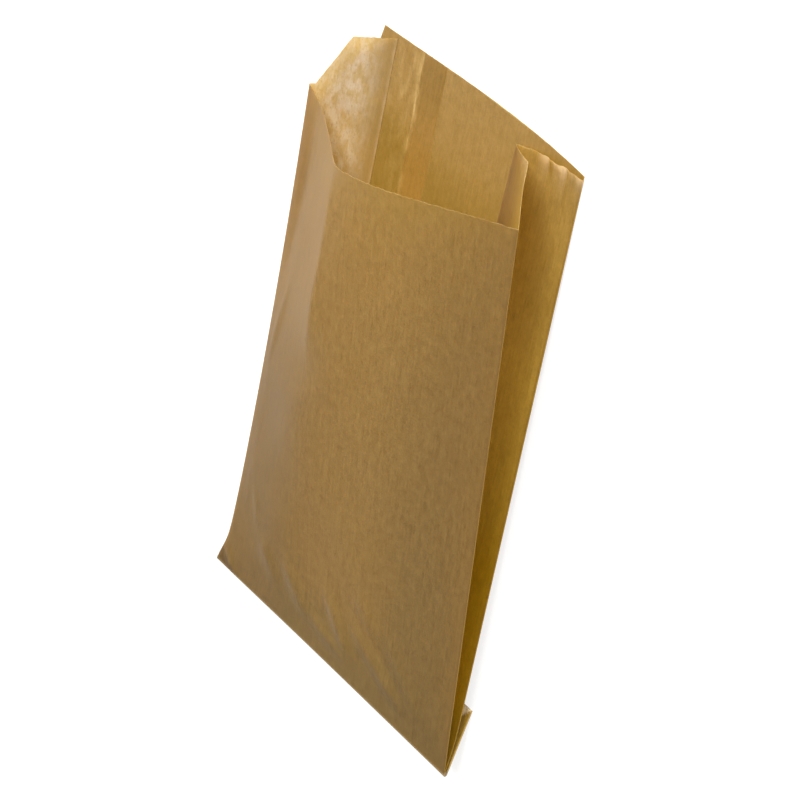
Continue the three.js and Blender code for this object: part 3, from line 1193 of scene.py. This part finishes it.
class NodeNet:
    """Small helper that lays nodes in a material and links them."""

    def __init__(self, material: bpy.types.Material) -> None:
        """Start with an empty node tree.

        Args:
            material: The material to fill.
        """
        material.use_nodes = True
        self.tree = material.node_tree
        self.tree.nodes.clear()

    def add(
        self, kind: str, values: dict[int | str, object] | None = None, **settings: object
    ) -> bpy.types.Node:
        """One node with its settings and socket values.

        Args:
            kind: Node type.
            values: Values or links for its input sockets.
            settings: Node properties.

        Returns:
            The node.
        """
        node = self.tree.nodes.new(kind)
        for name, value in settings.items():
            setattr(node, name, value)
        for name, value in (values or {}).items():
            if isinstance(value, Socket):
                self.tree.links.new(value, node.inputs[name])
            else:
                node.inputs[name].default_value = value
        return node

    def plus(self, a: object, b: object) -> Socket:
        """Sum of two values."""
        return self.add("ShaderNodeMath", {0: a, 1: b}, operation="ADD").outputs[0]

    def times(self, a: object, b: object) -> Socket:
        """Product of two values."""
        return self.add("ShaderNodeMath", {0: a, 1: b}, operation="MULTIPLY").outputs[0]

    def larger(self, a: object, b: object) -> Socket:
        """The larger of two values."""
        return self.add("ShaderNodeMath", {0: a, 1: b}, operation="MAXIMUM").outputs[0]

    def attribute(self, name: str) -> Socket:
        """Value of a mesh attribute."""
        return self.add("ShaderNodeAttribute", attribute_name=name).outputs["Fac"]

    def mix(self, share: object, a: object, b: object) -> Socket:
        """The first colour, with a share of the second."""
        return self.add("ShaderNodeMix", {0: share, 6: a, 7: b}, data_type="RGBA").outputs[2]

    def tint(self, share: object, colour: object, tone: object) -> Socket:
        """A colour multiplied by a share of a tone."""
        values = {0: share, 6: colour, 7: tone}
        return self.add("ShaderNodeMix", values, data_type="RGBA", blend_type="MULTIPLY").outputs[2]

    def noise(self, place: Socket, noise: Noise) -> Socket:
        """Noise over a stretched place.

        Args:
            place: Where on the paper.
            noise: The noise's rates and layers.

        Returns:
            The noise value.
        """
        where = self.add("ShaderNodeMapping", {"Vector": place, "Scale": (*noise.rates, 1.0)}).outputs[0]
        values = {"Vector": where, "Scale": 1.0, "Detail": noise.detail, "Roughness": noise.rough}
        return self.add("ShaderNodeTexNoise", values).outputs[0]

    def span(self, value: Socket, span: Span) -> Socket:
        """A value taken from one span to another, clamped.

        Args:
            value: The value.
            span: Both spans.

        Returns:
            The new value.
        """
        values = {
            "Value": value,
            "From Min": span.low,
            "From Max": span.high,
            "To Min": span.to_low,
            "To Max": span.to_high,
        }
        return self.add("ShaderNodeMapRange", values).outputs["Result"]

    def finish(self, shader: bpy.types.Node) -> None:
        """Link a shader to the material's surface."""
        self.add("ShaderNodeOutputMaterial", {"Surface": shader.outputs[0]})


@dataclass(frozen=True)
class KraftPaper:
    """Thin brown kraft: fibre streaks along the sheet, cloudy mottle, specks and paler cut edges, with
    painted light and shade on the gussets, the front, the seam's edge and the bottom strip.

    Spans named for a height are in decimetres up the bag from its bottom crease, as the paper map is.
    """

    outside: Colour = (0.345, 0.222, 0.068, 1.0)
    inside: Colour = (0.17, 0.118, 0.066, 1.0)
    # Valley colours are painted light and shade: golden for light thrown about in the right gusset's valley,
    # lighter part way down where the front's shadow falls, darker deep down.
    valley: Colour = (0.47, 0.325, 0.095, 1.0)
    valley_mid_light: Colour = (0.9, 0.62, 0.12, 1.0)
    valley_deep_shade: Colour = (0.44, 0.285, 0.014, 1.0)
    # The lining's pale colours are painted light on the left gusset's inner face.
    lining_pale: Colour = (0.97, 0.825, 0.58, 1.0)
    lining_deep: Colour = (0.8, 0.605, 0.29, 1.0)
    lining_gold: Colour = (0.54, 0.375, 0.14, 1.0)
    # Painted light that lifts the shaded lower part of the lining.
    lining_lit: Colour = (1.2, 1.22, 1.2, 1.0)
    # Pale cut edge colour, also the painted highlight on the right gusset's curl.
    frayed: Colour = (0.9, 0.76, 0.54, 1.0)
    seam: Colour = (0.185, 0.114, 0.033, 1.0)
    seam_low: Colour = (0.27, 0.168, 0.07, 1.0)
    # Pale glue colour, also the painted glint on the seam's left edge.
    seam_edge: Colour = (0.68, 0.52, 0.24, 1.0)
    crease: Colour = (0.24, 0.155, 0.055, 1.0)
    glued_face: Colour = (0.36, 0.21, 0.03, 1.0)
    # Painted light on the arm's upper face at its right end, which lies in shade.
    glued_top: Colour = (0.38, 0.225, 0.03, 1.0)
    # Paler paper at the strip's free corner, painted lighter as painted light.
    glued_end: Colour = (0.98, 0.8, 0.48, 1.0)
    cut: Colour = (0.6, 0.47, 0.29, 1.0)
    # Dark colour for specks and the glue smear, also used for painted shade on the corner and the right fold.
    speck_and_shade: Colour = (0.15, 0.085, 0.02, 1.0)
    # Painted shade that darkens the front's right side, upper strip and lower left.
    front_shade_tone: Colour = (0.87, 0.835, 0.79, 1.0)
    # Painted shade that turns the front's left rim golden.
    left_rim_shade: Colour = (0.97, 0.85, 0.62, 1.0)
    wall_tone: Colour = (1.0, 1.0, 0.93, 1.0)
    glow: Colour = (0.92, 0.715, 0.2, 1.0)
    # Dimmer light through the front where its painted shade lies.
    front_shade_glow: Colour = (0.78, 0.6, 0.165, 1.0)
    seam_glow: Colour = (0.7, 0.5, 0.13, 1.0)
    seam_low_glow: Colour = (0.95, 0.69, 0.25, 1.0)
    # Painted light: brighter light through the paper in the valley and on the right gusset's wall.
    valley_glow: Colour = (1.0, 0.78, 0.08, 1.0)
    wall_glow: Colour = (0.9, 0.69, 0.18, 1.0)
    streaks: Noise = Noise((115.0, 6.5), 3.5, 0.68)
    grain: Noise = Noise((140.0, 85.0), 2.0, 0.6)
    clouds: Noise = Noise((40.0, 26.0), 5.0, 0.7)
    blots: Noise = Noise((20.0, 15.0), 5.0, 0.66)
    specks: Noise = Noise((150.0, 100.0), 1.0, 0.5)
    mottle: Noise = Noise((24.0, 17.0), 3.5, 0.6)
    flecks: Noise = Noise((85.0, 60.0), 1.0, 0.5)
    daubs: Noise = Noise((36.0, 10.0), 3.0, 0.55)
    streak_depth: Span = Span(0.25, 0.75, -0.2, 0.2)
    cloud_depth: Span = Span(0.25, 0.75, -0.22, 0.22)
    grain_depth: Span = Span(0.25, 0.75, -0.13, 0.13)
    inside_fibres: Span = Span(0.0, 1.0, 1.0, 0.9)
    lining_fibres: Span = Span(0.0, 1.0, 1.0, 0.4)
    fibre_gains: Triple = (0.85, 1.0, 1.32)
    mottle_share: Span = Span(0.4, 0.6, 0.0, 1.0)
    fleck_share: Span = Span(0.57, 0.72, 0.0, 0.42)
    lining_lit_height: Span = Span(1.95, 2.2, 1.0, 0.0)
    seam_low_height: Span = Span(1.95, 2.28, 1.0, 0.0)
    valley_mid_light_height: Span = Span(1.6, 2.25, 1.0, 0.0)
    valley_deep_shade_height: Span = Span(0.85, 1.7, 1.0, 0.0)
    pale_smear: Span = Span(0.46, 0.7, 0.0, 0.24)
    dark_smear: Span = Span(0.34, 0.52, 0.3, 0.0)
    glue_glint_share: Span = Span(0.42, 0.6, 0.05, 1.0)
    speck_share: Span = Span(0.7, 0.78, 0.0, 0.4)
    worn_share: Span = Span(0.4, 0.6, 0.1, 0.8)
    roughness: Span = Span(0.3, 0.7, 0.36, 0.46)
    plain_wall_share: float = 0.6
    # Strength of the painted shade on the bottom left corner.
    corner_share: float = 0.55
    fold_share: float = 0.06
    # Strength of the painted shade along the right fold.
    right_fold_share: float = 0.6
    inside_shows_through: float = 0.3
    valley_shows_through: float = 0.2
    specular: float = 0.5
    bump_strength: float = 0.2
    bump_distance: float = 0.0002
    bump_grain: float = 0.6
    through: float = 0.54
    glued: bool = False

    def material(self) -> bpy.types.Material:
        """The paper's material."""
        return PaperShader(self, "kraft_glued" if self.glued else "kraft_paper").laid()


class PaperShader:
    """Lays the nodes of one kraft paper material."""

    def __init__(self, finish: KraftPaper, name: str) -> None:
        """Start the material with the places and noises that several tones share.

        Args:
            finish: Colours and noises of the paper.
            name: Name of the material.
        """
        self.finish = finish
        self.made = bpy.data.materials.new(name)
        self.net = net = NodeNet(self.made)
        self.uv = net.add("ShaderNodeUVMap", uv_map="paper").outputs["UV"]
        self.height = net.add("ShaderNodeSeparateXYZ", {0: self.uv}).outputs[1]
        self.inside = net.attribute("inside")
        self.valley = net.attribute("valley")
        self.wall = net.attribute("right_wall")
        self.front_shade = net.attribute("backed")
        self.lining = net.times(net.attribute("left_gusset"), self.inside)
        self.seam = net.times(net.attribute("seam"), self.inside)
        self.seam_low = net.span(self.height, finish.seam_low_height)
        self.wall_lining = net.times(self.wall, self.inside)
        self.streak = net.noise(self.uv, finish.streaks)
        self.grain = net.noise(self.uv, finish.grain)
        self.cloud = net.noise(self.uv, finish.clouds)

    def fibre_tone(self) -> Socket:
        """Light and dark of the fibres, strongest in blue so that it reads as grey on brown.

        Returns:
            Colour to multiply with.
        """
        f, net = self.finish, self.net
        total = net.plus(net.span(self.streak, f.streak_depth), net.span(self.cloud, f.cloud_depth))
        total = net.plus(total, net.span(self.grain, f.grain_depth))
        total = net.times(total, net.span(self.inside, f.inside_fibres))
        total = net.times(total, net.span(self.lining, f.lining_fibres))
        parts = {i: net.plus(net.times(total, gain), 1.0) for i, gain in enumerate(f.fibre_gains)}
        return net.add("ShaderNodeCombineColor", parts).outputs[0]

    def lining_with_painted_light(self) -> Socket:
        """Blotchy lining of the left gusset with painted light: pale, painted lighter lower down, golden
        towards its centre fold.

        Returns:
            The colour.
        """
        f, net = self.finish, self.net
        mottled = net.span(net.noise(self.uv, f.mottle), f.mottle_share)
        flecked = net.span(net.noise(self.uv, f.flecks), f.fleck_share)
        blotted = net.mix(flecked, net.mix(mottled, f.lining_deep, f.lining_pale), f.lining_gold)
        # Share of the pale painted light across the lining, golden at the centre fold.
        plain = net.mix(net.attribute("lining_painted_light"), f.lining_gold, blotted)
        return net.tint(net.span(self.height, f.lining_lit_height), plain, f.lining_lit)

    def valley_painted_light(self) -> Socket:
        """Painted light and shade on the right gusset's outer faces: golden, brightest part way down and
        darker towards the bottom.

        Returns:
            The colour.
        """
        f, net = self.finish, self.net
        golden = net.mix(net.span(self.height, f.valley_mid_light_height), f.valley, f.valley_mid_light)
        golden = net.mix(net.span(self.height, f.valley_deep_shade_height), golden, f.valley_deep_shade)
        return net.mix(net.times(self.wall, f.plain_wall_share), golden, f.outside)

    def with_glue_and_glint(self, colour: Socket) -> Socket:
        """A colour with the pale glue line and its painted glint, and the glue's smears beside the seam.

        Args:
            colour: The paper's colour.

        Returns:
            The new colour.
        """
        f, net = self.finish, self.net
        daub = net.noise(self.uv, f.daubs)
        smear = net.times(net.attribute("smear"), self.inside)
        line = net.times(net.attribute("seam_edge"), self.inside)
        colour = net.mix(net.times(smear, net.span(daub, f.pale_smear)), colour, f.seam_edge)
        colour = net.mix(net.times(smear, net.span(daub, f.dark_smear)), colour, f.speck_and_shade)
        # Pale glue line with a painted glint along the seam's left edge.
        return net.mix(net.times(line, net.span(daub, f.glue_glint_share)), colour, f.seam_edge)

    def with_wear(self, colour: Socket) -> Socket:
        """A colour with specks, folds and the worn cut edge, with painted shade along the right fold and a
        pale edge with a painted highlight on the right gusset's curl.

        Args:
            colour: The paper's colour.

        Returns:
            The new colour.
        """
        f, net = self.finish, self.net
        colour = net.mix(net.span(net.noise(self.uv, f.specks), f.speck_share), colour, f.speck_and_shade)
        colour = net.mix(net.times(net.attribute("fold"), f.fold_share), colour, f.cut)
        # Painted shade along the right fold.
        colour = net.mix(net.times(net.attribute("right_fold"), f.right_fold_share), colour, f.speck_and_shade)
        # Pale cut edge and painted highlight on the right gusset's curl.
        colour = net.mix(net.attribute("frayed"), colour, f.frayed)
        worn = net.span(net.noise(self.uv, f.blots), f.worn_share)
        return net.mix(net.times(net.attribute("cut_edge"), worn), colour, f.cut)

    def base_colour(self, fibres: Socket) -> Socket:
        """Colour of the paper as light falls on it, with the painted light and shade of the lining, valley,
        front, corner, edges and strip.

        Args:
            fibres: Light and dark of the fibres.

        Returns:
            The colour.
        """
        f, net = self.finish, self.net
        arm = net.mix(net.attribute("strip_arm"), f.crease, f.glued_face)
        arm = net.mix(net.attribute("strip_top"), arm, f.glued_top)
        colour = net.mix(self.inside, arm if f.glued else f.outside, f.inside)
        # Paler paper with painted light at the strip's free corner.
        colour = net.mix(net.attribute("strip_end"), colour, f.glued_end)
        colour = net.mix(self.lining, colour, self.lining_with_painted_light())
        colour = net.mix(self.seam, colour, net.mix(self.seam_low, f.seam, f.seam_low))
        # Painted light and shade in the valley.
        colour = net.mix(self.valley, colour, self.valley_painted_light())
        colour = self.with_glue_and_glint(colour)
        # Painted shade on the bottom left corner.
        colour = net.mix(net.times(net.attribute("corner"), f.corner_share), colour, f.speck_and_shade)
        colour = net.tint(1.0, colour, fibres)
        # Painted shade on the front.
        colour = net.tint(self.front_shade, colour, f.front_shade_tone)
        outer = net.plus(net.times(self.inside, -1.0), 1.0)
        # Painted shade along the front's left rim.
        colour = net.tint(net.times(net.attribute("left_rim"), outer), colour, f.left_rim_shade)
        colour = net.tint(self.wall_lining, colour, f.wall_tone)
        return self.with_wear(colour)

    def glow_colour(self, fibres: Socket) -> Socket:
        """Colour of the light that comes through the paper, with painted light in the valley and painted
        shade on the front.

        Args:
            fibres: Light and dark of the fibres.

        Returns:
            The colour.
        """
        f, net = self.finish, self.net
        glow = net.mix(self.seam, f.glow, net.mix(self.seam_low, f.seam_glow, f.seam_low_glow))
        glow = net.mix(self.valley, glow, net.mix(self.wall, f.valley_glow, f.wall_glow))
        glow = net.mix(self.front_shade, glow, f.front_shade_glow)
        glow = net.tint(self.wall_lining, glow, f.wall_tone)
        shows = net.times(self.inside, f.inside_shows_through)
        return net.tint(net.plus(shows, net.times(self.valley, f.valley_shows_through)), glow, fibres)

    def laid(self) -> bpy.types.Material:
        """The finished material: a paper face, and light that comes through where the paper is single.

        Returns:
            The material.
        """
        f, net = self.finish, self.net
        fibres = self.fibre_tone()
        relief = net.plus(self.streak, net.times(self.grain, f.bump_grain))
        bump = {"Strength": f.bump_strength, "Distance": f.bump_distance, "Height": relief}
        face = net.add(
            "ShaderNodeBsdfPrincipled",
            {
                "Base Color": self.base_colour(fibres),
                "Roughness": net.span(self.cloud, f.roughness),
                "Normal": net.add("ShaderNodeBump", bump).outputs[0],
                "Specular IOR Level": f.specular,
            },
        )
        if f.glued:
            net.finish(face)
            return self.made
        glow = net.add("ShaderNodeBsdfTranslucent", {"Color": self.glow_colour(fibres)})
        net.finish(net.add("ShaderNodeMixShader", {0: f.through, 1: face.outputs[0], 2: glow.outputs[0]}))
        return self.made


@dataclass(frozen=True)
class Lamp:
    """A flat lamp that faces the bag: place and size in metres, power in watts."""

    name: str
    place: Triple
    size: tuple[float, float]
    power: float


@dataclass(frozen=True)
class Studio:
    """White floor, even world light, five flat lamps and the camera of the photograph."""

    floor_half: float = 3.0
    floor_grey: float = 0.8
    floor_glow: float = 0.72
    floor_shade: float = 0.36
    world_strength: float = 0.42
    lamps: tuple[Lamp, ...] = (
        Lamp("key", (0.1, 0.95, 0.5), (0.45, 0.45), 15.6),
        Lamp("left_fill", (-0.7, 0.1, 0.6), (0.4, 0.4), 6.2),
        Lamp("side_card", (-0.62, -0.4, 0.04), (0.5, 0.08), 0.36),
        Lamp("low_fill", (0.6, -0.28, 0.18), (0.3, 0.2), 1.2),
        Lamp("hook_card", (0.22, -0.075, 0.085), (0.06, 0.04), 0.1),
    )
    camera_right: Triple = (0.5876074, 0.17662446, -0.78963368)
    camera_ahead: Triple = (-0.62727822, -0.51700435, -0.58243329)
    camera_place: Triple = (786.0205, 759.6166, 722.6283)
    camera_near: float = 0.01
    focal_pixels: float = 3620.935
    picture_pixels: float = 800.0
    sensor_width: float = 36.0

    def floor(self) -> None:
        """A pale floor that shows white to the camera and keeps the bag's shadow."""
        h = self.floor_half
        mesh = bpy.data.meshes.new("floor")
        mesh.from_pydata([(-h, -h, 0), (h, -h, 0), (h, h, 0), (-h, h, 0)], [], [(0, 1, 2, 3)])
        obj = bpy.data.objects.new("floor", mesh)
        bpy.context.scene.collection.objects.link(obj)
        mat = bpy.data.materials.new("floor_white")
        net = NodeNet(mat)
        ray = net.add("ShaderNodeLightPath").outputs
        seen = net.larger(ray["Is Camera Ray"], ray["Is Glossy Ray"])
        seen = net.larger(seen, ray["Is Transmission Ray"])
        plain = net.add("ShaderNodeBsdfDiffuse", {"Color": (*[self.floor_grey] * 3, 1.0)})
        glow = net.add("ShaderNodeEmission", {"Color": WHITE, "Strength": self.floor_glow})
        shade = net.add("ShaderNodeBsdfDiffuse", {"Color": (*[self.floor_shade] * 3, 1.0)})
        white = net.add("ShaderNodeAddShader", {0: glow.outputs[0], 1: shade.outputs[0]})
        net.finish(net.add("ShaderNodeMixShader", {0: seen, 1: plain.outputs[0], 2: white.outputs[0]}))
        mesh.materials.append(mat)

    def light(self) -> None:
        """Even white world, and the lamps turned towards the bag."""
        world = bpy.data.worlds.new("studio_world")
        bpy.context.scene.world = world
        world.use_nodes = True
        back = world.node_tree.nodes["Background"]
        back.inputs["Color"].default_value = WHITE
        back.inputs["Strength"].default_value = self.world_strength
        for lamp in self.lamps:
            data = bpy.data.lights.new(lamp.name, "AREA")
            data.shape = "RECTANGLE"
            data.size, data.size_y = lamp.size
            data.energy = lamp.power
            obj = bpy.data.objects.new(lamp.name, data)
            bpy.context.scene.collection.objects.link(obj)
            obj.location = lamp.place
            obj.rotation_euler = (-Vector(lamp.place)).to_track_quat("-Z", "Y").to_euler()

    def camera(self, bag: PaperBag) -> None:
        """The photograph's camera: placed and turned in the bag's own frame, then laid down with it.

        Args:
            bag: The bag that it was fitted to.
        """
        place = np.array(self.camera_place)
        right, ahead = np.array(self.camera_right), np.array(self.camera_ahead)
        up = np.cross(right, ahead)
        origin = bag.lay_down(place)
        axes = [bag.lay_down(place + axis / MM) - origin for axis in (right, up, -ahead)]
        data = bpy.data.cameras.new("photo_camera")
        data.sensor_width = self.sensor_width
        data.lens = self.focal_pixels / self.picture_pixels * self.sensor_width
        data.clip_start = self.camera_near
        obj = bpy.data.objects.new("photo_camera", data)
        bpy.context.scene.collection.objects.link(obj)
        turn = Matrix([list(axis) for axis in axes]).transposed().to_4x4()
        obj.matrix_world = Matrix.Translation(Vector(origin)) @ turn
        bpy.context.scene.camera = obj


def main() -> None:
    """Build the bag, the studio and the camera in order."""
    logging.basicConfig(level=logging.INFO)
    scene = bpy.context.scene
    scene.view_settings.view_transform = "Standard"
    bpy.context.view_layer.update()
    bag = PaperBag()
    sheet = bag.build()
    bag.dress(sheet, KraftPaper())
    LOG.info("%s: %d faces", sheet.name, len(sheet.data.polygons))
    studio = Studio()
    studio.floor()
    studio.light()
    studio.camera(bag)


if __name__ == "__main__":
    main()
